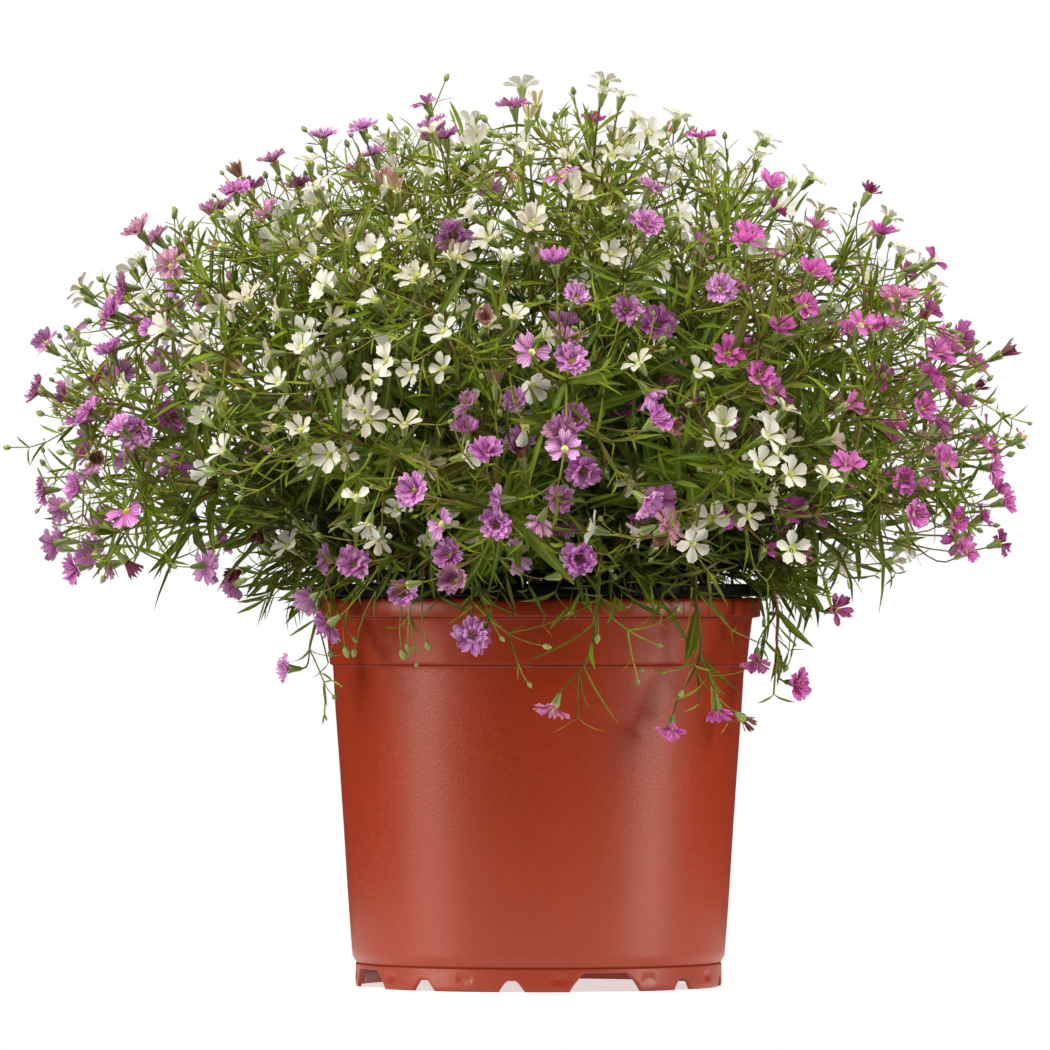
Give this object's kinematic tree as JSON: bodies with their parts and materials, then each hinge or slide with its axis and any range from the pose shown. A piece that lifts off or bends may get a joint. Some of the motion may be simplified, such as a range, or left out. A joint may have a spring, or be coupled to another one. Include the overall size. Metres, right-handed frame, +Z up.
{
  "type": "potted gypsophila",
  "caption": "Domed bush of branching baby's breath in white, lilac and magenta, rooted in soil in a black nursery pot inside a tapered terracotta plastic pot.",
  "frame": {"origin": "on the floor under the pot's axis, which is within 3 mm of the middle of the plant's bounding box", "axes": "+Z up along the pot's axis; the side of the plant seen in the picture faces -Y, so +X is to the right of it"},
  "size_m": [0.2708, 0.267, 0.2487],
  "materials": {
    "outer_pot": "satin terracotta-coloured plastic",
    "inner_pot": "thin black nursery-pot plastic",
    "soil": "dark moist potting soil",
    "spray_white": "green stems and leaves with white petals",
    "spray_lilac": "green stems and leaves with lilac petals",
    "spray_magenta": "green stems and leaves with magenta petals"
  },
  "bodies": {
    "root": {"dome_lilac_01": "spray_lilac", "dome_lilac_02": "spray_lilac", "dome_lilac_03": "spray_lilac", "dome_lilac_04": "spray_lilac", "dome_lilac_05": "spray_lilac", "dome_lilac_06": "spray_lilac", "dome_lilac_07": "spray_lilac", "dome_lilac_08": "spray_lilac", "dome_lilac_09": "spray_lilac", "dome_lilac_10": "spray_lilac", "dome_lilac_11": "spray_lilac", "dome_lilac_12": "spray_lilac", "dome_lilac_13": "spray_lilac", "dome_lilac_14": "spray_lilac", "dome_lilac_15": "spray_lilac", "dome_lilac_16": "spray_lilac", "dome_magenta_01": "spray_magenta", "dome_magenta_02": "spray_magenta", "dome_magenta_03": "spray_magenta", "dome_magenta_04": "spray_magenta", "dome_magenta_05": "spray_magenta", "dome_magenta_06": "spray_magenta", "dome_magenta_07": "spray_magenta", "dome_magenta_08": "spray_magenta", "dome_magenta_09": "spray_magenta", "dome_magenta_10": "spray_magenta", "dome_white_01": "spray_white", "dome_white_02": "spray_white", "dome_white_03": "spray_white", "dome_white_04": "spray_white", "dome_white_05": "spray_white", "dome_white_06": "spray_white", "dome_white_07": "spray_white", "dome_white_08": "spray_white", "dome_white_09": "spray_white", "dome_white_10": "spray_white", "dome_white_11": "spray_white", "dome_white_12": "spray_white", "dome_white_13": "spray_white", "dome_white_14": "spray_white", "dome_white_15": "spray_white", "dome_white_16": "spray_white", "dome_white_17": "spray_white", "dome_white_18": "spray_white", "inner_pot": "inner_pot", "outer_pot": "outer_pot", "soil": "soil", "trailing_lilac_01": "spray_lilac", "trailing_lilac_02": "spray_lilac", "trailing_lilac_03": "spray_lilac", "trailing_magenta_01": "spray_magenta", "trailing_magenta_02": "spray_magenta", "trailing_magenta_03": "spray_magenta", "trailing_magenta_04": "spray_magenta", "trailing_white_01": "spray_white"}
  },
  "joints": []
}
